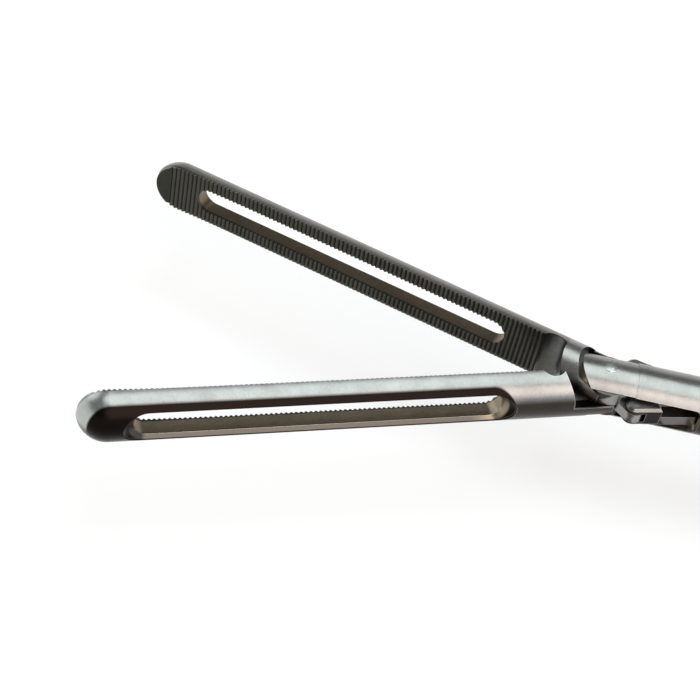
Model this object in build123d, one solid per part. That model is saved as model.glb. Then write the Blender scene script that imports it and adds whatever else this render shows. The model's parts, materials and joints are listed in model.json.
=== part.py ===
from build123d import *
import math
import os

# Bowel grasper of the 5 mm laparoscopic pattern, in millimetres.
# X runs along the shaft with the jaws toward -X. The origin is the jaw pivot, on the shaft's axis.
# The jaws open in the XY plane, so the instrument lies on its side with +Z up.
# The right jaw opens toward +Y and the left jaw toward -Y.

# Fits, as a gap on one side
running_gap = 0.05
seat_gap = 0.01
moulding_gap = 0.3

# Shaft tube and the length that goes into the body
tube_diameter = 5.0
tube_wall = 0.4
working_length = 330.0

# Jaws: half-round bars that close to a round-nosed bar as thick as the shaft
jaw_length = 45.4
right_opening = 18.7
left_opening = 20.4
face_relief = 0.04
face_edge = 0.12
bend_start = 33.0
tip_rise = 0.3
tip_gap = 0.03

# Serrations across the gripping face
tooth_pitch = 0.42
tooth_depth = 0.18
teeth_start = 6.3
teeth_end_margin = 1.1

# Window in each jaw
window_start = 9.8
window_end = 41.0
window_width = 2.45
window_rim = 0.6

# Lap joint at the jaw pivot
pivot_pin_diameter = 1.5
ear_gap = 2.6
ear_radius = 2.55
hub_radius = 2.35
cheek_inner_radius = 2.95
cheek_outer_radius = 4.35
cheek_gap = 0.1
scoop_radius = 1.15
scoop_rise = 0.4
scoop_from_cheek = 1.0

# Jaw tails, which cross behind the pivot
tail_length = 3.5
tail_angle = 26.3
tail_half_width = 0.85
tail_thickness = 0.9

# Links
link_length = 8.6
link_half_width = 0.72
link_neck_half_width = 0.58
link_head_length = 2.35
link_edge = 0.2
tine_thickness = 0.45
link_layer_gap = 0.04
link_pin_diameter = 0.8
open_pivot_gap = 0.16
fork_pin_diameter = 1.0

# Clevis: the milled end piece that carries the jaws
clevis_slot_end = 8.2
clevis_slot_corner = 0.6
clevis_body_end = 14.0
clevis_bore = 3.5
clevis_bore_start = 6.7
clevis_spigot = 7.0
clevis_step_at = 2.4
clevis_step = 0.06

# Push rod
fork_front = 1.3
fork_slot_behind = 1.0
fork_length = 4.6
fork_socket_depth = 1.5
rod_diameter = 1.6
rod_ball_diameter = 4.0
ball_socket_depth = 1.0
guide_length = 8.0
guide_from_end = 10.0

# Rotation knob
knob_diameter = 21.0
knob_nose_diameter = 11.0
knob_length = 22.0
knob_nose_length = 8.0
knob_shoulder = 1.9
knob_flutes = 8
flute_radius = 3.4
flute_depth = 1.3
knob_neck_diameter = 12.0
knob_neck_length = 12.0
knob_edge = 1.2
tube_end_in_knob = 19.0
seal_thickness = 2.0
set_screw_diameter = 2.5
set_screw_length = 5.0
set_screw_at = 8.0
hex_socket_radius = 0.72
hex_socket_depth = 1.2

# Retaining ring that holds the knob in the handle
ring_from_knob = 7.5
ring_thickness = 1.2
ring_outer_diameter = 15.6
ring_groove_depth = 1.0
ring_mouth = 4.4

# Handle head
head_gap = 0.8
head_length = 54.0
head_top = 13.5
head_bottom = 17.0
head_front_half_height = 10.5
head_front_corner = 3.5
head_top_radius = 11.0
head_bottom_radius = 9.5
head_bottom_from_front = 38.0
head_half_thickness = 8.5
head_edge = 2.4
neck_room = 0.5
rod_channel_diameter = 3.2

# Finger loop
loop_inner_width = 22.0
loop_inner_length = 46.0
loop_wall = 5.6
loop_half_thickness = 5.6
loop_edge = 2.4
loop_offset_x = 23.0
loop_offset_y = 60.0
loop_neck_width = 15.0
loop_neck_root_width = 19.0
loop_neck_root_x = 20.0
loop_neck_root_y = 8.0

# Thumb lever
lever_arm = 5.5
lever_from_head_front = 36.5
lever_half_thickness = 4.0
lever_boss_radius = 6.5
lever_reach = 78.0
lever_angle = 52.0
lever_root_half_width = 5.2
lever_end_half_width = 4.2
thumb_ring_inner_radius = 12.0
thumb_ring_wall = 5.2
lever_edge = 2.0
lever_pin_diameter = 3.0
lever_pin_cover = 1.8
lever_bush_diameter = 5.0
ball_block_half_width = 3.6
ball_block_top = 3.2
ball_groove_floor = 0.3
rod_slot_room = 1.1

# Cover screws
screw_diameter = 2.5
screw_head_diameter = 4.6
screw_head_height = 1.5
screw_length = 11.0
screw_end_room = 0.2
screw_drive_width = 0.7
screw_drive_depth = 0.6
front_screw_x = 19.0
front_screw_top = 8.2
front_screw_bottom = -10.0
back_screw_x = 47.0
back_screw_top = 6.0

# Worked out from the sizes above
tube_radius = tube_diameter / 2
tube_bore_radius = tube_radius - tube_wall
pivot_pin_radius = pivot_pin_diameter / 2
layer_gap = running_gap / 2
plate_top = ear_gap / 2 - running_gap
tail_top = tail_thickness / 2
tine_low = tail_top + link_layer_gap
tine_high = tine_low + tine_thickness
link_pin_radius = link_pin_diameter / 2
fork_pin_radius = fork_pin_diameter / 2
fork_radius = clevis_bore / 2 - running_gap
rod_radius = rod_diameter / 2
ball_radius = rod_ball_diameter / 2


def tail_point(opening):
    """The right jaw's tail pin when that jaw is open by so many degrees."""
    angle = math.radians(tail_angle + opening)
    return tail_length * math.cos(angle), -tail_length * math.sin(angle)


def fork_pin_x(opening):
    """Where the link from that tail pin meets the shaft's axis."""
    x, y = tail_point(opening)
    return x + math.sqrt(link_length ** 2 - y ** 2)


def link_tilt(opening, pin_x):
    """The angle in degrees between the shaft's axis and the link."""
    x, y = tail_point(opening)
    return math.degrees(math.atan2(-y, pin_x - x))


# The jaws bow a little, so their tips meet first, with each jaw still at this angle
closed_tilt = math.degrees(math.asin((tip_rise + tip_gap) / jaw_length))
pin_x_open = (fork_pin_x(right_opening) + fork_pin_x(left_opening)) / 2
pin_x_closed = fork_pin_x(closed_tilt)
rod_stroke = pin_x_closed - pin_x_open
knob_front = working_length - jaw_length
knob_back = knob_front + knob_length
head_front = knob_back + head_gap
lever_x = head_front + lever_from_head_front
lever_y = -lever_arm
ball_x = lever_x - rod_stroke / 2
lever_travel = 2 * math.degrees(math.asin(rod_stroke / 2 / lever_arm))
tube_end = knob_front + tube_end_in_knob


def bar(radius, start, end):
    """A round bar on the shaft's axis."""
    return Pos((start + end) / 2, 0, 0) * Rot(0, 90, 0) * Cylinder(radius, end - start)


def post(radius, low, high, x=0.0, y=0.0):
    """A round post that stands along Z."""
    return Pos(x, y, (low + high) / 2) * Cylinder(radius, high - low)


def block(x0, x1, y0, y1, z0, z1):
    """A rectangular block between two corners."""
    centre = Pos((x0 + x1) / 2, (y0 + y1) / 2, (z0 + z1) / 2)
    return centre * Box(x1 - x0, y1 - y0, z1 - z0)


def layer(sketch, low, high):
    """A flat sketch made into a plate between two heights."""
    return extrude(Pos(0, 0, low) * sketch, high - low)


def strip(start, end, radius_start, radius_end):
    """A flat tapered strip with round ends."""
    first = Pos(*start) * Circle(radius_start)
    last = Pos(*end) * Circle(radius_end)
    return make_hull(first.edges() + last.edges())


def bevelled_plate(outline, half_thickness, edge):
    """A plate about the middle plane with both rims bevelled."""
    plate = layer(outline, -half_thickness, half_thickness)
    rims = plate.faces().sort_by(Axis.Z)
    return chamfer(rims[0].edges() + rims[-1].edges(), edge)


def face_height(s):
    """Height of the tooth crests over the jaw's middle plane, at s from the pivot."""
    share = max(0, s - bend_start) / (jaw_length - bend_start)
    return face_relief - (face_relief + tip_rise) * share ** 2


def gripping_side():
    """Flat region on the jaw's side of its serrated face, with the scoop behind the teeth."""
    outside = tube_radius + 1
    points = [(0, outside), (0, face_relief), (-teeth_start, face_relief)]
    count = int((jaw_length - teeth_end_margin - teeth_start) / tooth_pitch)
    for i in range(count):
        crest = teeth_start + (i + 1) * tooth_pitch
        root = crest - tooth_pitch / 2
        points.append((-root, face_height(root) + tooth_depth))
        points.append((-crest, face_height(crest)))
    points.append((-jaw_length, face_height(jaw_length)))
    points.append((-jaw_length, outside))
    region = make_face(Polyline(*points, close=True))
    scoop = Pos(-cheek_outer_radius - scoop_from_cheek, face_relief - scoop_rise) * Circle(scoop_radius)
    return region - scoop


def inside_face_bevel():
    """The space inside the bevel that runs round the edge of the serrated face."""
    spare = 0.1
    face = Plane(origin=(0, face_relief, 0), x_dir=(1, 0, 0), z_dir=(0, 1, 0))
    rise = face_edge + spare
    narrow = face * SlotOverall(2 * (jaw_length - face_edge), 2 * (tube_radius - face_edge))
    wide = face.offset(rise) * SlotOverall(2 * (jaw_length + spare), 2 * (tube_radius + spare))
    return extrude(narrow, -tube_radius) + loft([narrow, wide], ruled=True) + extrude(wide, tube_radius)


def window_cutter():
    """Round-ended window through the jaw, opening out at the back of the jaw."""
    length = window_end - window_start
    middle = -(window_start + window_end) / 2
    rim_y = math.sqrt(tube_radius ** 2 - (window_width / 2) ** 2) - window_rim
    flare = tube_radius + 0.1 - rim_y
    across = Plane(origin=(middle, 0, 0), x_dir=(1, 0, 0), z_dir=(0, 1, 0))
    straight = extrude(across * SlotOverall(length, window_width), tube_radius, both=True)
    narrow = across.offset(rim_y) * SlotOverall(length, window_width)
    wide = across.offset(rim_y + flare) * SlotOverall(length + 2 * flare, window_width + 2 * flare)
    return straight + loft([narrow, wide], ruled=True)


def round_nosed_bar():
    """The outer form that the two closed jaws share, with its seam on the far side."""
    shoulder = tube_radius - jaw_length
    lengthwise = Polyline((shoulder, -tube_radius), (0, -tube_radius), (0, 0), (-jaw_length, 0))
    bend = math.sqrt(0.5) * tube_radius
    nose = ThreePointArc((-jaw_length, 0), (shoulder - bend, -bend), (shoulder, -tube_radius))
    return revolve(make_face(lengthwise + nose), Axis.X)


def closed_jaw():
    """The right jaw in its closed position. The left one is the same piece turned over."""
    envelope = round_nosed_bar()
    reach = tube_radius + 1
    beam = envelope & layer(gripping_side(), -reach, reach) & inside_face_bevel()
    beam -= post(cheek_outer_radius + cheek_gap, -reach, layer_gap)
    beam -= window_cutter()
    cheek = post(cheek_outer_radius, layer_gap, reach) & envelope
    cheek &= block(-jaw_length, 0, -reach, reach, -reach, reach)
    jaw = beam + cheek - post(cheek_inner_radius, -reach, reach)
    neck = post(cheek_inner_radius + 0.2, layer_gap, plate_top)
    neck &= block(-reach - 1, 0, -reach, reach, -reach, reach)
    neck &= bar(tube_radius, -jaw_length, 1)
    hub = post(hub_radius, layer_gap, plate_top)
    return jaw + neck + hub + tail() - post(pivot_pin_radius + running_gap, -reach, reach)


def tail():
    """The arm behind the pivot, stepped to the middle of the clevis at its end."""
    boss = tail_point(0)
    outline = strip((0, 0), boss, tail_half_width, tail_half_width)
    clear_of_hub = Circle(hub_radius + 2 * running_gap)
    root = outline & Circle(tail_length - link_half_width - 4 * running_gap)
    arm = layer(outline, layer_gap, tail_top) + layer(outline - clear_of_hub, -tail_top, tail_top)
    arm += layer(root, layer_gap, plate_top)
    return arm - post(link_pin_radius + open_pivot_gap, -tube_radius, tube_radius, *boss)


def closed_link():
    """The right jaw's link along X, with its fork pin at the origin and its fork toward -X."""
    pin = -link_length
    head = Pos(pin, 0) * Circle(link_half_width)
    head += Pos(pin + link_head_length / 2, 0) * Rectangle(link_head_length, 2 * link_half_width)
    tongue = strip((pin + link_head_length / 2, 0), (0, 0), link_neck_half_width, link_half_width)
    link = bevelled_plate(head, tine_high, link_edge) + layer(tongue, -tine_high, -layer_gap)
    mouth = tail_half_width + 2 * running_gap
    link -= block(pin - mouth, pin + mouth, -tube_radius, tube_radius, -tine_low, tine_low)
    link -= post(link_pin_radius + seat_gap, -tube_radius, tube_radius, pin, 0)
    return link - post(fork_pin_radius + running_gap, -tube_radius, tube_radius)


def link_pin():
    """The cross pin fixed in the link's fork, in the link's own place."""
    return post(link_pin_radius, -tine_high, tine_high, -link_length, 0)


def placed_link(piece, side):
    """A link piece in its place at rest: side 1 is the right jaw's, side -1 the left jaw's."""
    opening = right_opening if side > 0 else left_opening
    tilt = link_tilt(opening, pin_x_open)
    turned = Rot(0, 0, tilt) * piece
    if side < 0:
        turned = Rot(180, 0, 0) * turned
    return Pos(pin_x_open, 0, 0) * turned


def clevis():
    """Milled end piece: two round-ended ears, a blind slot between them and a spigot."""
    step = clevis_step
    body = bar(tube_radius - step, -ear_radius, clevis_step_at)
    body += bar(tube_radius, clevis_step_at, clevis_body_end)
    body += bar(tube_bore_radius - seat_gap, clevis_body_end, clevis_body_end + clevis_spigot)
    reach = tube_diameter
    end = clevis_body_end + clevis_spigot
    keep = post(ear_radius, -reach, reach)
    keep += block(0, end + reach, -reach, reach, -reach, reach)
    body &= keep
    half = ear_gap / 2
    corner = clevis_slot_corner
    slot = block(-reach, clevis_slot_end - corner, -reach, reach, -half, half)
    slot += block(-reach, clevis_slot_end, -reach, reach, corner - half, half - corner)
    for side in (-1, 1):
        place = Pos(clevis_slot_end - corner, 0, side * (half - corner)) * Rot(90, 0, 0)
        slot += place * Cylinder(corner, 2 * reach)
    body -= slot
    body -= bar(clevis_bore / 2, clevis_bore_start, end + reach)
    return body - post(pivot_pin_radius + seat_gap, -reach, reach)


def jaw_pivot_pin():
    """The pivot pin, ground flush with the round of the ears."""
    pin = post(pivot_pin_radius, -tube_radius, tube_radius)
    return pin & bar(tube_radius - clevis_step / 2, -pivot_pin_diameter, pivot_pin_diameter)


def outer_tube():
    tube = bar(tube_radius, clevis_body_end, tube_end)
    return tube - bar(tube_bore_radius, clevis_body_end, tube_end)


def rod_fork():
    """Round rod end with a cross slot for the two links and a bore for its pin."""
    start = pin_x_open - fork_front
    fork = bar(fork_radius, start, start + fork_length)
    fork_slot = tine_high + running_gap
    back = pin_x_open + fork_slot_behind
    fork -= block(start, back, -tube_radius, tube_radius, -fork_slot, fork_slot)
    fork -= bar(rod_radius + seat_gap, start + fork_length - fork_socket_depth, start + fork_length)
    return fork - post(fork_pin_radius + seat_gap, -tube_radius, tube_radius, pin_x_open, 0)


def rod_fork_pin():
    pin = post(fork_pin_radius, -tube_radius, tube_radius, pin_x_open, 0)
    return pin & bar(fork_radius, pin_x_open - fork_pin_diameter, pin_x_open + fork_pin_diameter)


def push_rod():
    start = pin_x_open - fork_front + fork_length - fork_socket_depth
    return bar(rod_radius, start, ball_x - ball_radius + ball_socket_depth)


def rod_ball():
    """Ball pressed on the end of the rod."""
    front = ball_x - ball_radius
    bore = bar(rod_radius + seat_gap, front - ball_radius, front + ball_socket_depth + seat_gap)
    return Pos(ball_x, 0, 0) * Sphere(ball_radius) - bore


def rod_guide():
    """Plain bush in the tube that carries the rod."""
    end = tube_end - guide_from_end
    guide = bar(tube_bore_radius - seat_gap, end - guide_length, end)
    return guide - bar(rod_radius + running_gap, end - guide_length, end)


def rod_seal():
    """Soft ring behind the tube's end, round the rod."""
    ring = bar(tube_radius, tube_end + seat_gap, tube_end + seat_gap + seal_thickness)
    return ring - bar(rod_radius + seat_gap, tube_end, tube_end + 2 * seal_thickness)


def rotation_knob():
    """Fluted knob with a tapered nose and a grooved neck that turns in the handle."""
    radius = knob_diameter / 2
    nose = knob_nose_diameter / 2
    neck = knob_neck_diameter / 2
    front = knob_front
    back = knob_back
    end = back + knob_neck_length
    outline = [
        (front, 0),
        (front, nose - knob_edge),
        (front + knob_edge, nose),
        (front + knob_nose_length, radius - knob_edge),
        (front + knob_nose_length + knob_shoulder, radius),
        (back - knob_edge, radius),
        (back, radius - knob_edge),
        (back, neck),
        (end, neck),
        (end, 0),
    ]
    knob = revolve(make_face(Polyline(*outline, close=True)), Axis.X)
    for i in range(knob_flutes):
        turn = Rot(360 / knob_flutes * i, 0, 0)
        flute = Pos(0, 0, radius + flute_radius - flute_depth) * bar(flute_radius, front, back + 1)
        knob -= turn * flute
    groove_start = back + ring_from_knob
    groove_end = groove_start + ring_thickness + 2 * running_gap
    groove = bar(radius, groove_start, groove_end)
    groove -= bar(neck - ring_groove_depth, groove_start, groove_end)
    knob -= groove
    knob -= bar(tube_radius + seat_gap, front, tube_end + 2 * seat_gap + seal_thickness)
    knob -= bar(rod_radius + moulding_gap, front, end)
    for side in (-1, 1):
        knob -= set_screw_space(side, seat_gap)
    return knob


def set_screw_space(side, gap):
    """Radial bore in the knob for one set screw, in a valley between two grips."""
    depth = knob_diameter / 2 - tube_radius
    hole = post(set_screw_diameter / 2 + gap, tube_radius, tube_radius + depth)
    return Rot(90 * side, 0, 0) * Pos(knob_back - set_screw_at, 0, 0) * hole


def knob_set_screws():
    """Two set screws with hexagon sockets that clamp the knob on the tube."""
    top = tube_radius + set_screw_length
    screw = post(set_screw_diameter / 2, tube_radius + seat_gap, top)
    screw -= layer(RegularPolygon(hex_socket_radius, 6), top - hex_socket_depth, top)
    screws = [Rot(90 * s, 0, 0) * Pos(knob_back - set_screw_at, 0, 0) * screw for s in (-1, 1)]
    return Compound(children=screws)


def retaining_ring():
    """Open spring ring in the neck's groove."""
    start = knob_back + ring_from_knob + running_gap
    end = start + ring_thickness
    ring = bar(ring_outer_diameter / 2, start, end)
    ring -= bar(knob_neck_diameter / 2 - ring_groove_depth + seat_gap, start, end)
    return ring - block(start, end, 0, ring_outer_diameter, -ring_mouth / 2, ring_mouth / 2)


def lever_space():
    """Flat region in the head that the lever's root sweeps, with room round it."""
    gap = moulding_gap
    space = Pos(lever_x, lever_y) * Circle(lever_boss_radius + gap)
    width = 2 * ball_block_half_width + rod_stroke + 4 * gap
    height = ball_block_top + 2 * gap + lever_arm
    space += Pos(lever_x, lever_y + height / 2) * Rectangle(width, height)
    for turn in (0, lever_travel / 2, lever_travel):
        angle = math.radians(lever_angle + turn)
        out = lever_reach / 2
        end = (lever_x + out * math.cos(angle), lever_y - out * math.sin(angle))
        root = lever_root_half_width + gap
        space += strip((lever_x, lever_y), end, root, root)
    return space


def head_outline():
    """Side view of the head: a flat front that swells to a round back."""
    corner_y = head_front_half_height - head_front_corner
    back_x = head_front + head_length - head_top_radius
    low_x = head_front + head_bottom_from_front
    rounds = [
        Pos(head_front + head_front_corner, corner_y) * Circle(head_front_corner),
        Pos(head_front + head_front_corner, -corner_y) * Circle(head_front_corner),
        Pos(back_x, head_top - head_top_radius) * Circle(head_top_radius),
        Pos(low_x, head_bottom_radius - head_bottom) * Circle(head_bottom_radius),
    ]
    return make_hull([edge for item in rounds for edge in item.edges()])


def axis_spaces():
    """The round spaces along the shaft's axis inside the head."""
    ring_start = knob_back + ring_from_knob
    neck_end = knob_back + knob_neck_length + neck_room
    spaces = bar(knob_neck_diameter / 2 + running_gap, knob_front, neck_end)
    ring_radius = ring_outer_diameter / 2 + running_gap
    ring_end = ring_start + ring_thickness
    spaces += bar(ring_radius, ring_start - 2 * running_gap, ring_end + 4 * running_gap)
    return spaces + bar(rod_channel_diameter / 2, ring_start, lever_x)


def lever_room():
    """The lever's space between the two shells."""
    half = lever_half_thickness + moulding_gap
    return layer(lever_space(), -half, half)


def head_solid():
    """The head as one block, with every space that the two shells leave inside it."""
    head = bevelled_plate(head_outline(), head_half_thickness, head_edge)
    pin_end = head_half_thickness - lever_pin_cover
    head -= post(lever_pin_diameter / 2 + seat_gap, -pin_end, pin_end, lever_x, lever_y)
    return head - axis_spaces() - lever_room()


def head_half(low, high):
    """The part of the head between two heights."""
    return head_solid() & block(knob_back, knob_back + 2 * head_length, -head_length, head_length, low, high)


def screw_places():
    """The three cover screws, in the solid parts of the head."""
    front = head_front + front_screw_x
    back = head_front + back_screw_x
    return [(front, front_screw_top), (front, front_screw_bottom), (back, back_screw_top)]


def finger_loop():
    """Oval loop for the fingers, under the head, with its neck."""
    x = head_front + loop_offset_x
    y = -loop_offset_y
    outer_width = loop_inner_width + 2 * loop_wall
    outer_length = loop_inner_length + 2 * loop_wall
    upright_slot = Pos(x, y) * Rot(0, 0, 90)
    outer = upright_slot * SlotOverall(outer_length, outer_width)
    hole = upright_slot * SlotOverall(loop_inner_length, loop_inner_width)
    neck_top = (head_front + loop_neck_root_x, -loop_neck_root_y)
    neck_bottom = (x, y + outer_length / 2 - loop_neck_width / 2)
    neck = strip(neck_top, neck_bottom, loop_neck_root_width / 2, loop_neck_width / 2)
    neck_plate = bevelled_plate(neck, loop_half_thickness, loop_edge)
    neck_plate -= layer(offset(hole, loop_wall / 2), -loop_half_thickness, loop_half_thickness)
    return neck_plate + bevelled_plate(outer - hole, loop_half_thickness, loop_edge)


def handle_body():
    """Lower shell of the head, in one piece with the finger loop."""
    loop = finger_loop() - layer(head_outline(), 0, head_half_thickness)
    body = head_half(-head_half_thickness, 0) + (loop - lever_room() - axis_spaces())
    for x, y in screw_places():
        body -= post(screw_diameter / 2 + seat_gap, head_half_thickness - screw_length, 0, x, y)
    return body


def handle_cover():
    """Upper shell of the head, held by three screws."""
    top = head_half_thickness
    cover = head_half(seat_gap, top)
    for x, y in screw_places():
        cover -= post(screw_diameter / 2 + running_gap, 0, top, x, y)
        cover -= post(screw_head_diameter / 2 + running_gap, top - screw_head_height, top, x, y)
    return cover


def cover_screws():
    """Three slotted screws with flush heads."""
    top = head_half_thickness
    half = screw_drive_width / 2
    radius = screw_head_diameter / 2
    screws = []
    for x, y in screw_places():
        screw = post(radius, top - screw_head_height + seat_gap, top, x, y)
        low = top - screw_length + screw_end_room
        screw += post(screw_diameter / 2, low, top - screw_head_height / 2, x, y)
        screw -= block(x - half, x + half, y - radius, y + radius, top - screw_drive_depth, top)
        screws.append(screw)
    return Compound(children=screws)


def lever_pin():
    end = head_half_thickness - lever_pin_cover - seat_gap
    return post(lever_pin_diameter / 2, -end, end, lever_x, lever_y)


def lever_bush():
    """Metal bush pressed in the lever, turning on its pin."""
    half = lever_half_thickness
    bush = post(lever_bush_diameter / 2, -half, half, lever_x, lever_y)
    return bush - post(lever_pin_diameter / 2 + running_gap, -half, half, lever_x, lever_y)


def thumb_lever():
    """Lever with the ball's socket over its pivot and the thumb ring at its end."""
    angle = math.radians(lever_angle)
    ring_x = lever_x + lever_reach * math.cos(angle)
    ring_y = lever_y - lever_reach * math.sin(angle)
    outer = thumb_ring_inner_radius + thumb_ring_wall
    ring = Pos(ring_x, ring_y) * (Circle(outer) - Circle(thumb_ring_inner_radius))
    neck = lever_reach - outer
    neck_end = (lever_x + neck * math.cos(angle), lever_y - neck * math.sin(angle))
    arm = strip((lever_x, lever_y), neck_end, lever_root_half_width, lever_end_half_width)
    half = lever_half_thickness
    lever = bevelled_plate(arm, half, lever_edge) + bevelled_plate(ring, half, lever_edge)
    lever += post(lever_boss_radius, -half, half, lever_x, lever_y)
    width = ball_block_half_width
    lever += block(ball_x - width, ball_x + width, lever_y, ball_block_top, -half, half)
    lever -= post(lever_bush_diameter / 2 + seat_gap, -half, half, lever_x, lever_y)
    floor = -ball_radius - ball_groove_floor
    height = ball_block_top - floor
    groove = Pos(ball_x, floor + height / 2, 0) * Rot(90, 0, 0) * Cylinder(ball_radius + running_gap, height)
    lever -= groove
    slot = rod_radius + 3 * running_gap
    front = ball_x - 2 * width
    return lever - block(front, ball_x, -rod_radius - rod_slot_room, ball_block_top, -slot, slot)


def build():
    """Every sub-part at rest, by name."""
    jaw = closed_jaw()
    link = closed_link()
    pin = link_pin()
    return {
        "right_jaw": Rot(0, 0, -right_opening) * jaw,
        "left_jaw": Rot(0, 0, left_opening) * (Rot(180, 0, 0) * jaw),
        "jaw_pivot_pin": jaw_pivot_pin(),
        "clevis": clevis(),
        "outer_tube": outer_tube(),
        "right_link": placed_link(link, 1),
        "left_link": placed_link(link, -1),
        "right_link_pin": placed_link(pin, 1),
        "left_link_pin": placed_link(pin, -1),
        "rod_fork": rod_fork(),
        "rod_fork_pin": rod_fork_pin(),
        "push_rod": push_rod(),
        "rod_ball": rod_ball(),
        "rod_guide": rod_guide(),
        "rod_seal": rod_seal(),
        "rotation_knob": rotation_knob(),
        "knob_set_screws": knob_set_screws(),
        "retaining_ring": retaining_ring(),
        "handle_body": handle_body(),
        "handle_cover": handle_cover(),
        "cover_screws": cover_screws(),
        "lever_pin": lever_pin(),
        "lever_bush": lever_bush(),
        "thumb_lever": thumb_lever(),
    }


os.makedirs("parts", exist_ok=True)
for name, piece in build().items():
    export_step(piece, "parts/" + name + ".step")
print("rod stroke", round(rod_stroke, 3), "lever travel", round(lever_travel, 3))
print("fork pin x", round(pin_x_open, 3), "ball x", round(ball_x, 3))
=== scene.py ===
import json
import math

import bpy
from mathutils import Matrix, Vector


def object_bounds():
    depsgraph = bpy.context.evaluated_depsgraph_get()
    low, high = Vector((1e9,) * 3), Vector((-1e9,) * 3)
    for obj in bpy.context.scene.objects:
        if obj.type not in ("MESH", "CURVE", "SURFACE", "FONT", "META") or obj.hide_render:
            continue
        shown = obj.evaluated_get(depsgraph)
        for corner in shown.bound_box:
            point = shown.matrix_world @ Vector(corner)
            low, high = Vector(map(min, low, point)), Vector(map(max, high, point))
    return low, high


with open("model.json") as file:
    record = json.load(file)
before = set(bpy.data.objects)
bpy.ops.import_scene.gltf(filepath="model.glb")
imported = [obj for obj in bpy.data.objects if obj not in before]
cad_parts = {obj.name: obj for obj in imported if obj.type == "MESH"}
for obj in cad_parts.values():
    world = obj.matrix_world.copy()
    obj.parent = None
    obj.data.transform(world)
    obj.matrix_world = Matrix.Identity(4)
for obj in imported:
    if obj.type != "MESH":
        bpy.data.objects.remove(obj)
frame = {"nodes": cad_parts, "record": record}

# The CAD model's box, kept before anything is added
cad_low, cad_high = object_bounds()

MM = 0.001

# Camera, fitted to the outlines of the jaws and the clevis in the 700 x 700 photograph
PHOTO_SIZE = 700
CAMERA_ELEVATION = 44.28
CAMERA_AZIMUTH = -0.67
CAMERA_ROLL = 12.61
PIVOT_DISTANCE = 138.1 * MM
FOCAL_PIXELS = 1596.0
PIVOT_PIXEL = (605.1, 385.5)
SENSOR_WIDTH = 36.0
CLIP_RANGE = (0.002, 50.0)

# The jaws: how far each is turned at rest, the round that they share with the shaft, and how far
# from the pivot their parts are
RIGHT_OPENING = 18.7
LEFT_OPENING = 20.4
OUTER_RADIUS = 2.5 * MM
HUB_REACH = 4.4 * MM
TEETH_START = 6.3 * MM
TEETH_END = 43.95 * MM
WINDOW_START = 9.8 * MM
WINDOW_CENTRES = (11.03 * MM, 39.78 * MM)
NOSE_START = 42.9 * MM

# Depth into a jaw from its gripping face: of the teeth, and of the window before it flares
FACE_DEPTH = 0.24 * MM
FLARE_DEPTH = 1.55 * MM

# Where along a jaw one look gives way to the next, as the first and the last place of the change
HUB_BAND = (0.97 * HUB_REACH, HUB_REACH)
SCOOP_BAND = (0.78 * TEETH_START, TEETH_START)
TEETH_END_BAND = (0.997 * TEETH_END, 1.003 * TEETH_END)
WINDOW_BAND = (0.9 * WINDOW_START, WINDOW_START)
FLARE_START_BAND = (0.97 * WINDOW_START, 1.30 * WINDOW_START)
# Where the painted highlight on the nose sets in, from the nose's start
NOSE_HIGHLIGHT_BAND = (0.0, 1.2 * MM)

# The same by depth from the gripping face
TEETH_BAND = (FACE_DEPTH, 1.4 * FACE_DEPTH)
FLARE_BAND = (0.95 * FLARE_DEPTH, FLARE_DEPTH)

# The same by radius: from inside to the outer round, and from the slot, lightened with painted light,
# to the clevis's outside
ROUND_BAND = (0.93 * OUTER_RADIUS, 0.97 * OUTER_RADIUS)
SLOT_PAINTED_LIGHT_BAND = (0.90 * OUTER_RADIUS, 0.95 * OUTER_RADIUS)

# The dark brown painted shade of the window's rounded rim: its reach from the window's middle
# line, where it starts on the flare of the window's ends, how far past the window it sets in,
# and how much it keeps off the nose
RIM_BAND = (0.80 * OUTER_RADIUS, 0.87 * OUTER_RADIUS)
FLARE_SHADE_BAND = (0.60 * OUTER_RADIUS, 0.68 * OUTER_RADIUS)
PAST_WINDOW_BAND = (0.1 * MM, 0.5 * MM)
NOSE_PULL = 1.15

# Upward share of the normal: where the painted shade of the underside ends, and where the painted
# highlight on the nose starts
UNDERSIDE_SHADE_BAND = (0.26, 0.58)
NOSE_HIGHLIGHT_UP_BAND = (-0.30, 0.10)

# How much of the outer steel shows in the scoop before the teeth, and where its painted cool
# reflection sets in
SCOOP_SHARE = 0.46
SCOOP_REFLECTION_BAND = (0.0, 0.2)

# A small, ragged, bright nick on the end of the pivot pin
NICK_PLACE = (-0.14 * MM, -0.12 * MM, 2.44 * MM)
NICK_SIZE = 0.52 * MM
NICK_BAND = (0.7 * NICK_SIZE, NICK_SIZE)
NICK_RAGGED = (-1.4, 3.8)

# The milled step round the clevis, beside which the edges show only a share of the rubbing and
# painted edge highlight, whose light evens out the step's dark line
CLEVIS_STEP = 2.4 * MM
STEP_BAND = (0.12 * MM, 0.20 * MM)
STEP_SHARE = 0.4

# How far the rubbing and the painted highlight on sharp edges reach, from which turn of the surface,
# and how patchily
STEEL_WEAR_AND_HIGHLIGHT = 0.10 * MM
PLASTIC_WEAR_AND_SHEEN = 0.45 * MM
WEAR_AND_HIGHLIGHT_BAND = (0.01, 0.10)
WEAR_AND_HIGHLIGHT_PATCHES = (0.2, 1.2)
BEVEL_SAMPLES = 6

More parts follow.
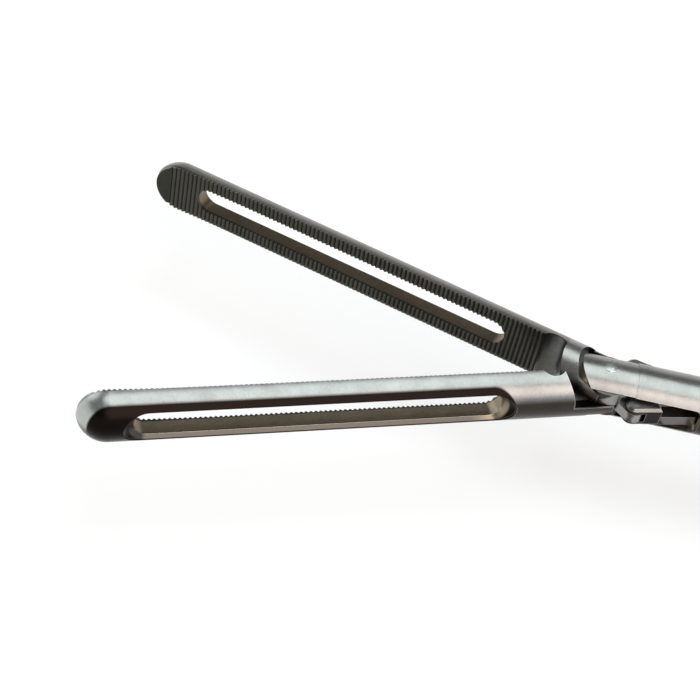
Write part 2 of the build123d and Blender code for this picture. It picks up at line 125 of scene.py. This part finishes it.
# Noise: features per metre, detail, and stretches of its space
GRAIN_SCALE = 5200.0
STREAK_SCALE = 2600.0
CLOUD_SCALE = 420.0
PATCH_SCALE = 1500.0
MOULD_GRAIN_SCALE = 2400.0
MOULD_CLOUD_SCALE = 60.0
LOW_DETAIL = 2.0
MIDDLE_DETAIL = 3.0
HIGH_DETAIL = 4.0
NOISE_ROUGHNESS = 0.6
EVEN = (1.0, 1.0, 1.0)
ACROSS_TIP = (0.25, 1.0, 1.0)
ALONG_TUBE = (1.0, 0.06, 0.06)
ACROSS_NICK = (1.0, 2.6, 1.0)

# Where in the noise the darker tone ends and the lighter one starts
CLOUD_STOPS = (0.32, 0.68)
FACE_STOPS = (0.30, 0.70)
GRAIN_STOPS = (0.30, 0.66)
MOULD_STOPS = (0.30, 0.70)

# Grain: height, strength of its bump, and how it moves the roughness
STEEL_GRAIN = 0.02 * MM
GRAIN_BUMP = 0.30
STREAK_BUMP = 0.10
STREAK_SHARE = (0.3, 1.0)
STEEL_UNEVEN = (-0.05, 0.09)
MOULD_GRAIN = 0.06 * MM
MOULD_BUMP = 0.35
MOULD_UNEVEN = (-0.07, 0.08)
SATIN_ROUGHNESS = 0.28

# Colours of metal
# Painted shade on the serrated faces, far darker than the steel
INNER_FACE_SHADE = (0.078, 0.076, 0.064)
INNER_FACE_SHADE_DARK = tuple(0.8 * part for part in INNER_FACE_SHADE)
JAW_DARK = (0.248, 0.245, 0.237)
JAW_LIGHT = (0.325, 0.321, 0.311)
# Painted highlight on the jaws' noses, lighter than their steel
JAW_NOSE_HIGHLIGHT = (0.46, 0.49, 0.46)
# Painted shade: the far jaw's steel, a darker copy of the near jaw's
FAR_SHADED_DARK = (0.168, 0.156, 0.143)
FAR_SHADED_LIGHT = (0.222, 0.207, 0.190)
FAR_NOSE_HIGHLIGHT = (0.25, 0.25, 0.24)
HUB_STEEL = (0.31, 0.305, 0.295)
# Painted light in the clevis's slot and bore, lifting their shade
SLOT_PAINTED_LIGHT_STEEL = (0.78, 0.66, 0.54)
# Painted shade on the window's flare
FLARE_SHADE_STEEL = (0.085, 0.078, 0.068)
# Worn steel on sharp edges, with a painted highlight there too
WORN_AND_HIGHLIT_STEEL = (0.56, 0.53, 0.50)
# Painted shade along the window's rounded rim, near black
RIM_PAINTED_SHADE = (0.010, 0.007, 0.006)
NICK_WHITE = (0.62, 0.63, 0.62)
WHITE = (1.0, 1.0, 1.0)

# Tints, by which another colour is multiplied
UNDERSIDE_SHADE_TINT = (0.17, 0.145, 0.130)
WALL_TINT = (0.98, 0.82, 0.62)
# Painted cool reflection in the scoop before the teeth
SCOOP_REFLECTION_TINT = (0.88, 1.0, 1.06)
# Painted shade on the flat face past the teeth
PAST_TEETH_SHADE_TINT = (0.55, 0.55, 0.55)
GRAIN_TINT = (0.78, 0.78, 0.78)

# Lighter tone, and worn tone with painted sheen on edges, of a plastic's colour: a gain, and what is
# added
MOULD_LIGHTER = (1.35, 0.004)
MOULD_WORN_AND_SHEEN = (1.6, 0.012)

# Stage and world
FLOOR_SIZE = 8.0
FLOOR_DIFFUSE = 0.46
FLOOR_GLOW = 0.52
HORIZON_GLOW = 1.0
CEILING_GLOW = 0.22
CEILING_BAND = (0.22, 0.50)

# Broad lamps, overhead, in front to the right and past the tips: name, elevation, azimuth from +X
# toward +Y, width, strength and colour
LAMPS = [
    ("cool", 76.0, 20.0, 50.0, 1.55, (0.90, 1.0, 1.0)),
    ("warm", 40.0, -57.0, 44.0, 1.55, (1.0, 0.91, 0.85)),
    ("side", 36.0, 152.0, 44.0, 0.55, (0.97, 1.0, 1.0)),
]


def new_material(name):
    """A node material with its tree and shader."""
    material = bpy.data.materials.new(name)
    material.use_nodes = True
    tree = material.node_tree
    return material, tree, tree.nodes["Principled BSDF"]


def link(tree, source, target):
    """Joins an output to an input."""
    tree.links.new(source, target)


def object_place(tree):
    """Coordinates fixed to the object's own space."""
    return tree.nodes.new("ShaderNodeTexCoord").outputs["Object"]


def object_noise(tree, scale, detail=MIDDLE_DETAIL, stretch=EVEN):
    """Noise fixed to the object's own space, with scale in features per metre."""
    mapping = tree.nodes.new("ShaderNodeMapping")
    mapping.inputs["Scale"].default_value = stretch
    noise = tree.nodes.new("ShaderNodeTexNoise")
    noise.inputs["Scale"].default_value = scale
    noise.inputs["Detail"].default_value = detail
    noise.inputs["Roughness"].default_value = NOISE_ROUGHNESS
    link(tree, object_place(tree), mapping.inputs["Vector"])
    link(tree, mapping.outputs["Vector"], noise.inputs["Vector"])
    return noise.outputs["Fac"]


def ramp(tree, factor, stops, colours):
    """A colour ramp from one colour at its first stop to another at its second."""
    node = tree.nodes.new("ShaderNodeValToRGB")
    for element, position, colour in zip(node.color_ramp.elements, stops, colours):
        element.position = position
        element.color = (*colour, 1.0)
    link(tree, factor, node.inputs["Fac"])
    return node.outputs["Color"]


def spread(tree, factor, low, high):
    """The factor moved from 0..1 to low..high."""
    node = tree.nodes.new("ShaderNodeMapRange")
    node.inputs["To Min"].default_value = low
    node.inputs["To Max"].default_value = high
    link(tree, factor, node.inputs["Value"])
    return node.outputs["Result"]


def rise(tree, value, start, end):
    """A smooth step from 0 at start to 1 at end."""
    node = tree.nodes.new("ShaderNodeMapRange")
    node.interpolation_type = "SMOOTHSTEP"
    node.inputs["From Min"].default_value = start
    node.inputs["From Max"].default_value = end
    link(tree, value, node.inputs["Value"])
    return node.outputs["Result"]


def calculate(tree, operation, first, second=None):
    """One calculation with sockets or plain numbers."""
    node = tree.nodes.new("ShaderNodeMath")
    node.operation = operation
    for socket, value in zip(node.inputs, (first, second)):
        if isinstance(value, (int, float)):
            socket.default_value = value
        elif value is not None:
            link(tree, value, socket)
    return node.outputs[0]


def product(tree, first, *others):
    """All the values multiplied."""
    for other in others:
        first = calculate(tree, "MULTIPLY", first, other)
    return first


def highest(tree, first, *others):
    """The highest of the values."""
    for other in others:
        first = calculate(tree, "MAXIMUM", first, other)
    return first


def difference(tree, first, second):
    """The first value less the second."""
    return calculate(tree, "SUBTRACT", first, second)


def opposite(tree, value):
    """1 where the value is 0, and 0 where it is 1."""
    return difference(tree, 1.0, value)


def past(tree, value, start):
    """How far the value lies past the start, and 0 before it."""
    return highest(tree, difference(tree, value, start), 0.0)


def parts_of(tree, vector):
    """The three numbers of a vector."""
    split = tree.nodes.new("ShaderNodeSeparateXYZ")
    link(tree, vector, split.inputs[0])
    return split.outputs["X"], split.outputs["Y"], split.outputs["Z"]


def length_of(tree, x, y, z):
    """The length of a vector given by its three numbers."""
    joined = tree.nodes.new("ShaderNodeCombineXYZ")
    for socket, value in zip(joined.inputs, (x, y, z)):
        if isinstance(value, float):
            socket.default_value = value
        else:
            link(tree, value, socket)
    size = tree.nodes.new("ShaderNodeVectorMath")
    size.operation = "LENGTH"
    link(tree, joined.outputs[0], size.inputs[0])
    return size.outputs["Value"]


def shaft_radius(tree):
    """Distance from the axis of the shaft."""
    _, y, z = parts_of(tree, object_place(tree))
    return length_of(tree, 0.0, y, z)


def facing_up(tree):
    """The upward share of the surface's normal, in the object's own space."""
    normal = tree.nodes.new("ShaderNodeTexCoord").outputs["Normal"]
    return parts_of(tree, normal)[2]


def bump(tree, height, strength, distance, normal=None):
    """A bump node over one height, stacked on an earlier normal where there is one."""
    node = tree.nodes.new("ShaderNodeBump")
    node.inputs["Strength"].default_value = strength
    node.inputs["Distance"].default_value = distance
    link(tree, height, node.inputs["Height"])
    if normal is not None:
        link(tree, normal, node.inputs["Normal"])
    return node.outputs["Normal"]


def mix_colours(tree, factor, first, second, blend="MIX"):
    """The first colour at factor 0, and the second, or the blend of both, at factor 1."""
    node = tree.nodes.new("ShaderNodeMix")
    node.data_type = "RGBA"
    node.blend_type = blend
    for name, value in (("Factor", factor), ("A", first), ("B", second)):
        if isinstance(value, float):
            node.inputs[name].default_value = value
        elif isinstance(value, tuple):
            node.inputs[name].default_value = (*value, 1.0)
        else:
            link(tree, value, node.inputs[name])
    return node.outputs["Result"]


def tinted(tree, factor, colour, tint):
    """The colour, multiplied by the tint where the factor is 1."""
    return mix_colours(tree, factor, colour, mix_colours(tree, 1.0, colour, tint, "MULTIPLY"))


def clouded(tree, dark, light):
    """Slow, cloudy changes between two tones of steel."""
    return ramp(tree, object_noise(tree, CLOUD_SCALE), CLOUD_STOPS, (dark, light))


def uneven(tree, shader, factor, roughness, change):
    """Roughness that moves with the factor, by the least and the most of its change."""
    least, most = change
    rough = spread(tree, factor, roughness + least, roughness + most)
    link(tree, rough, shader.inputs["Roughness"])


def painted_shade_below(tree, base, radius):
    """The base colour with painted shade, darker and browner on the downward-facing outer round."""
    downward = opposite(tree, rise(tree, facing_up(tree), *UNDERSIDE_SHADE_BAND))
    shade_below = product(tree, downward, rise(tree, radius, *ROUND_BAND))
    return tinted(tree, shade_below, base, UNDERSIDE_SHADE_TINT)


def rubbed_and_highlit_edges(tree, base, worn_and_highlit, width, share=None):
    """The base colour, rubbed to a worn colour with painted highlight along sharp edges, all or a
    share of it.
    """
    rounded = tree.nodes.new("ShaderNodeBevel")
    rounded.samples = BEVEL_SAMPLES
    rounded.inputs["Radius"].default_value = width
    flat = tree.nodes.new("ShaderNodeNewGeometry")
    across = tree.nodes.new("ShaderNodeVectorMath")
    across.operation = "DOT_PRODUCT"
    link(tree, rounded.outputs[0], across.inputs[0])
    link(tree, flat.outputs["Normal"], across.inputs[1])
    turned = opposite(tree, across.outputs["Value"])
    patchy = spread(tree, object_noise(tree, PATCH_SCALE, LOW_DETAIL), *WEAR_AND_HIGHLIGHT_PATCHES)
    wear_and_highlight = product(tree, rise(tree, turned, *WEAR_AND_HIGHLIGHT_BAND), patchy)
    if share is not None:
        wear_and_highlight = product(tree, wear_and_highlight, share)
    return mix_colours(tree, wear_and_highlight, base, worn_and_highlit)


def satin(tree, shader, base, roughness=SATIN_ROUGHNESS, streak=ACROSS_TIP):
    """Satin metal over a base colour: fine blasted grain and faint streaks."""
    fine = object_noise(tree, GRAIN_SCALE, HIGH_DETAIL)
    streaks = object_noise(tree, STREAK_SCALE, LOW_DETAIL, streak)
    shade = ramp(tree, fine, GRAIN_STOPS, (GRAIN_TINT, WHITE))
    grained = mix_colours(tree, spread(tree, streaks, *STREAK_SHARE), base, shade, "MULTIPLY")
    link(tree, grained, shader.inputs["Base Color"])
    shader.inputs["Metallic"].default_value = 1.0
    uneven(tree, shader, fine, roughness, STEEL_UNEVEN)
    normal = bump(tree, fine, GRAIN_BUMP, STEEL_GRAIN)
    normal = bump(tree, streaks, STREAK_BUMP, STEEL_GRAIN, normal)
    link(tree, normal, shader.inputs["Normal"])


def steel(name, dark, light, roughness, streak=ACROSS_TIP):
    """Satin stainless steel with slow, cloudy changes of tone, and painted shade on its underside."""
    material, tree, shader = new_material(name)
    base = painted_shade_below(tree, clouded(tree, dark, light), shaft_radius(tree))
    worn_and_highlit = rubbed_and_highlit_edges(tree, base, WORN_AND_HIGHLIT_STEEL, STEEL_WEAR_AND_HIGHLIGHT)
    satin(tree, shader, worn_and_highlit, roughness, streak)
    return material


def tip_steel(name):
    """Steel of the clevis: satin outside with painted shade underneath, and plain and brighter in the
    slot and the bore, where painted light lifts their shade.
    """
    material, tree, shader = new_material(name)
    radius = shaft_radius(tree)
    outside = painted_shade_below(tree, clouded(tree, JAW_DARK, JAW_LIGHT), radius)
    base = mix_colours(tree, rise(tree, radius, *SLOT_PAINTED_LIGHT_BAND), SLOT_PAINTED_LIGHT_STEEL, outside)
    x = parts_of(tree, object_place(tree))[0]
    off_step = calculate(tree, "ABSOLUTE", difference(tree, x, CLEVIS_STEP))
    share = spread(tree, rise(tree, off_step, *STEP_BAND), STEP_SHARE, 1.0)
    satin(tree, shader, rubbed_and_highlit_edges(tree, base, WORN_AND_HIGHLIT_STEEL, STEEL_WEAR_AND_HIGHLIGHT, share))
    return material


def pin_steel(name):
    """Ground steel with one bright nick on the pivot pin's end."""
    material, tree, shader = new_material(name)
    # Painted shade on the downward-facing outer round
    base = painted_shade_below(tree, clouded(tree, JAW_DARK, JAW_LIGHT), shaft_radius(tree))
    offset = tree.nodes.new("ShaderNodeVectorMath")
    offset.operation = "SUBTRACT"
    offset.inputs[1].default_value = NICK_PLACE
    link(tree, object_place(tree), offset.inputs[0])
    from_nick = length_of(tree, *parts_of(tree, offset.outputs[0]))
    noise = object_noise(tree, GRAIN_SCALE, LOW_DETAIL, ACROSS_NICK)
    ragged = product(tree, from_nick, spread(tree, noise, *NICK_RAGGED))
    nick = opposite(tree, rise(tree, ragged, *NICK_BAND))
    satin(tree, shader, mix_colours(tree, nick, base, NICK_WHITE))
    return material


def jaw_place(tree, side, opening):
    """A place in a jaw: along it from the pivot, into it from its face, and across it."""
    turn = tree.nodes.new("ShaderNodeMapping")
    turn.inputs["Rotation"].default_value = (0.0, 0.0, math.radians(side * opening))
    link(tree, object_place(tree), turn.inputs["Vector"])
    x, y, z = parts_of(tree, turn.outputs["Vector"])
    return product(tree, x, -1.0), product(tree, y, side), z


def shaded_serrated_face(tree, along):
    """The gripping face in painted shade: dark and cloudy, and darker still past the teeth."""
    cloud = object_noise(tree, CLOUD_SCALE)
    face = ramp(tree, cloud, FACE_STOPS, (INNER_FACE_SHADE_DARK, INNER_FACE_SHADE))
    return tinted(tree, rise(tree, along, *TEETH_END_BAND), face, PAST_TEETH_SHADE_TINT)


def window_rim_shade(tree, along, across, into_nose, on_round, deep):
    """Where the window's rim takes painted shade: 1 on the outer round beside the window, and on the
    flare of the window's two ends.
    """
    first, last = WINDOW_CENTRES
    before = past(tree, first, along)
    off_middle = calculate(tree, "ADD", product(tree, into_nose, NOSE_PULL), before)
    reach = length_of(tree, off_middle, 0.0, across)
    rim = product(tree, opposite(tree, rise(tree, reach, *RIM_BAND)), on_round)
    beyond = calculate(tree, "ADD", before, past(tree, along, last))
    outer_flare = rise(tree, length_of(tree, beyond, 0.0, across), *FLARE_SHADE_BAND)
    at_end = rise(tree, beyond, *PAST_WINDOW_BAND)
    flare_shade = product(tree, outer_flare, deep, at_end, opposite(tree, on_round))
    return highest(tree, rim, flare_shade)


def jaw_steel(name, side, opening, dark, light, nose_highlight):
    """Jaw steel: satin on the outer round, dark and matt on the serrated face, whose darkness is
    painted shade.
    """
    material, tree, shader = new_material(name)
    along, depth, across = jaw_place(tree, side, opening)
    into_nose = past(tree, along, NOSE_START)
    radius = length_of(tree, into_nose, depth, across)
    on_round = rise(tree, radius, *ROUND_BAND)
    at_hub = opposite(tree, rise(tree, along, *HUB_BAND))
    in_scoop = product(tree, SCOOP_SHARE, opposite(tree, rise(tree, along, *SCOOP_BAND)))
    in_window = product(tree, rise(tree, depth, *TEETH_BAND), rise(tree, along, *WINDOW_BAND),
                        opposite(tree, on_round))
    deep = rise(tree, depth, *FLARE_BAND)

    # The steel, from the window's walls to the hub, the scoop with its painted cool reflection, the
    # underside in painted shade, the nose with its painted highlight and the flare in painted shade
    base = tinted(tree, in_window, clouded(tree, dark, light), WALL_TINT)
    base = mix_colours(tree, at_hub, base, HUB_STEEL)
    scoop_reflection = product(tree, opposite(tree, highest(tree, on_round, at_hub)),
                          rise(tree, in_scoop, *SCOOP_REFLECTION_BAND))
    base = tinted(tree, scoop_reflection, base, SCOOP_REFLECTION_TINT)
    # Painted highlight on the upward-facing end of the nose
    nose_highlight_mask = product(tree, rise(tree, into_nose, *NOSE_HIGHLIGHT_BAND),
                  rise(tree, facing_up(tree), *NOSE_HIGHLIGHT_UP_BAND))
    base = mix_colours(tree, nose_highlight_mask, painted_shade_below(tree, base, radius), nose_highlight)
    # Painted shade on the window's flare, off the outer round
    off_round = difference(tree, rise(tree, along, *FLARE_START_BAND), on_round)
    flare_shade = highest(tree, product(tree, deep, off_round), 0.0)
    base = mix_colours(tree, flare_shade, base, FLARE_SHADE_STEEL)

    # The serrated face, in painted shade, shows where none of the steel does, and the painted shade
    # of the window's rim lies over both
    bright = highest(tree, on_round, in_scoop, at_hub, in_window)
    worn_and_highlit = rubbed_and_highlit_edges(tree, base, WORN_AND_HIGHLIT_STEEL, STEEL_WEAR_AND_HIGHLIGHT)
    base = mix_colours(tree, bright, shaded_serrated_face(tree, along), worn_and_highlit)
    rim_shade = window_rim_shade(tree, along, across, into_nose, on_round, deep)
    satin(tree, shader, mix_colours(tree, rim_shade, base, RIM_PAINTED_SHADE))
    return material


def lifted(colour, gain, added):
    """A lighter tone of a colour."""
    return tuple(min(1.0, part * gain + added) for part in colour)


def plastic(name, colour, roughness):
    """Moulded plastic with a fine spark-eroded grain."""
    material, tree, shader = new_material(name)
    fine = object_noise(tree, MOULD_GRAIN_SCALE)
    cloud = object_noise(tree, MOULD_CLOUD_SCALE)
    base = ramp(tree, cloud, MOULD_STOPS, (colour, lifted(colour, *MOULD_LIGHTER)))
    worn_and_highlit = rubbed_and_highlit_edges(tree, base, lifted(colour, *MOULD_WORN_AND_SHEEN), PLASTIC_WEAR_AND_SHEEN)
    link(tree, worn_and_highlit, shader.inputs["Base Color"])
    uneven(tree, shader, fine, roughness, MOULD_UNEVEN)
    link(tree, bump(tree, fine, MOULD_BUMP, MOULD_GRAIN), shader.inputs["Normal"])
    return material


MATERIALS = {
    "jaw_steel": jaw_steel("jaw_steel", 1, RIGHT_OPENING, FAR_SHADED_DARK, FAR_SHADED_LIGHT, FAR_NOSE_HIGHLIGHT),
    "left_jaw_steel": jaw_steel("left_jaw_steel", -1, LEFT_OPENING, JAW_DARK, JAW_LIGHT, JAW_NOSE_HIGHLIGHT),
    "tip_steel": tip_steel("tip_steel"),
    "link_steel": steel("link_steel", (0.135, 0.130, 0.124), (0.190, 0.184, 0.176), 0.30),
    "pin_steel": pin_steel("pin_steel"),
    "tube_steel": steel("tube_steel", JAW_DARK, JAW_LIGHT, 0.26, ALONG_TUBE),
    "screw_steel": steel("screw_steel", (0.22, 0.22, 0.22), (0.32, 0.32, 0.32), 0.30),
    "bush_metal": steel("bush_metal", (0.32, 0.22, 0.10), (0.48, 0.34, 0.16), 0.34),
    "guide_plastic": plastic("guide_plastic", (0.72, 0.72, 0.69), 0.45),
    "seal_rubber": plastic("seal_rubber", (0.16, 0.17, 0.18), 0.6),
    "knob_plastic": plastic("knob_plastic", (0.022, 0.022, 0.024), 0.42),
    "handle_plastic": plastic("handle_plastic", (0.018, 0.018, 0.020), 0.45),
}


def dress_nodes():
    """Every CAD node takes the material of its slot, but the left jaw and the links their own."""
    own = {"left_jaw": "left_jaw_steel", "right_link": "link_steel", "left_link": "link_steel"}
    for row in frame["record"]["subparts"]:
        node = frame["nodes"][row["node"]]
        slot = own.get(row["node"], row["material_slot"])
        node.data.materials.clear()
        node.data.materials.append(MATERIALS[slot])


def camera_axes():
    """Right, up and backward directions of the fitted camera."""
    elevation = math.radians(CAMERA_ELEVATION)
    azimuth = math.radians(CAMERA_AZIMUTH)
    roll = math.radians(CAMERA_ROLL)
    back = Vector((math.sin(azimuth) * math.cos(elevation),
                   -math.cos(azimuth) * math.cos(elevation),
                   math.sin(elevation)))
    level = Vector((math.cos(azimuth), math.sin(azimuth), 0.0))
    upright = back.cross(level)
    right = math.cos(roll) * level + math.sin(roll) * upright
    up = -math.sin(roll) * level + math.cos(roll) * upright
    return right, up, back


def add_camera():
    """Camera that sees the jaw pivot at its pixel of the photograph."""
    right, up, back = camera_axes()
    across = (PIVOT_PIXEL[0] - PHOTO_SIZE / 2) / FOCAL_PIXELS * PIVOT_DISTANCE
    above = -(PIVOT_PIXEL[1] - PHOTO_SIZE / 2) / FOCAL_PIXELS * PIVOT_DISTANCE
    data = bpy.data.cameras.new("camera")
    data.sensor_width = SENSOR_WIDTH
    data.lens = FOCAL_PIXELS / PHOTO_SIZE * SENSOR_WIDTH
    data.clip_start, data.clip_end = CLIP_RANGE
    camera = bpy.data.objects.new("camera", data)
    bpy.context.scene.collection.objects.link(camera)
    turn = Matrix((right, up, back)).transposed().to_4x4()
    place = PIVOT_DISTANCE * back - across * right - above * up
    camera.matrix_world = Matrix.Translation(place) @ turn
    bpy.context.scene.camera = camera


def seen_directly(tree):
    """1 for camera, glossy and transmission rays, which see the pale floor, and 0 for others."""
    path = tree.nodes.new("ShaderNodeLightPath")
    kinds = ("Is Camera Ray", "Is Glossy Ray", "Is Transmission Ray")
    return highest(tree, *(path.outputs[kind] for kind in kinds))


def add_floor():
    """Pale floor under the lowest point, which keeps the object's shadow."""
    mesh = bpy.data.meshes.new("floor")
    half = FLOOR_SIZE / 2
    level = cad_low.z
    corners = [(-half, -half, level), (half, -half, level), (half, half, level), (-half, half, level)]
    mesh.from_pydata(corners, [], [(0, 1, 2, 3)])
    floor = bpy.data.objects.new("floor", mesh)
    bpy.context.scene.collection.objects.link(floor)
    material, tree, shader = new_material("floor")
    tree.nodes.remove(shader)
    diffuse = tree.nodes.new("ShaderNodeBsdfDiffuse")
    diffuse.inputs["Color"].default_value = (FLOOR_DIFFUSE, FLOOR_DIFFUSE, FLOOR_DIFFUSE, 1.0)
    glow = tree.nodes.new("ShaderNodeEmission")
    link(tree, spread(tree, seen_directly(tree), 0.0, FLOOR_GLOW), glow.inputs["Strength"])
    both = tree.nodes.new("ShaderNodeAddShader")
    link(tree, diffuse.outputs[0], both.inputs[0])
    link(tree, glow.outputs[0], both.inputs[1])
    link(tree, both.outputs[0], tree.nodes["Material Output"].inputs["Surface"])
    mesh.materials.append(material)


def add_world():
    """White surroundings near the horizon and a darker ceiling, the same for every ray."""
    world = bpy.data.worlds.new("world")
    world.use_nodes = True
    tree = world.node_tree
    direction = tree.nodes.new("ShaderNodeTexCoord").outputs["Generated"]
    ceiling = rise(tree, parts_of(tree, direction)[2], *CEILING_BAND)
    background = tree.nodes["Background"]
    background.inputs["Color"].default_value = (*WHITE, 1.0)
    link(tree, spread(tree, ceiling, HORIZON_GLOW, CEILING_GLOW), background.inputs["Strength"])
    bpy.context.scene.world = world


def add_sun(name, elevation, azimuth, width, strength, colour):
    """A broad, soft distant lamp."""
    data = bpy.data.lights.new(name, "SUN")
    data.energy = strength
    data.angle = math.radians(width)
    data.color = colour
    lamp = bpy.data.objects.new(name, data)
    up = math.radians(elevation)
    turn = math.radians(azimuth)
    toward = Vector((math.cos(up) * math.cos(turn), math.cos(up) * math.sin(turn), math.sin(up)))
    lamp.rotation_mode = "QUATERNION"
    lamp.rotation_quaternion = toward.to_track_quat("Z", "Y")
    bpy.context.scene.collection.objects.link(lamp)


bpy.context.scene.view_settings.view_transform = "Standard"
dress_nodes()
add_camera()
add_floor()
add_world()
for lamp in LAMPS:
    add_sun(*lamp)
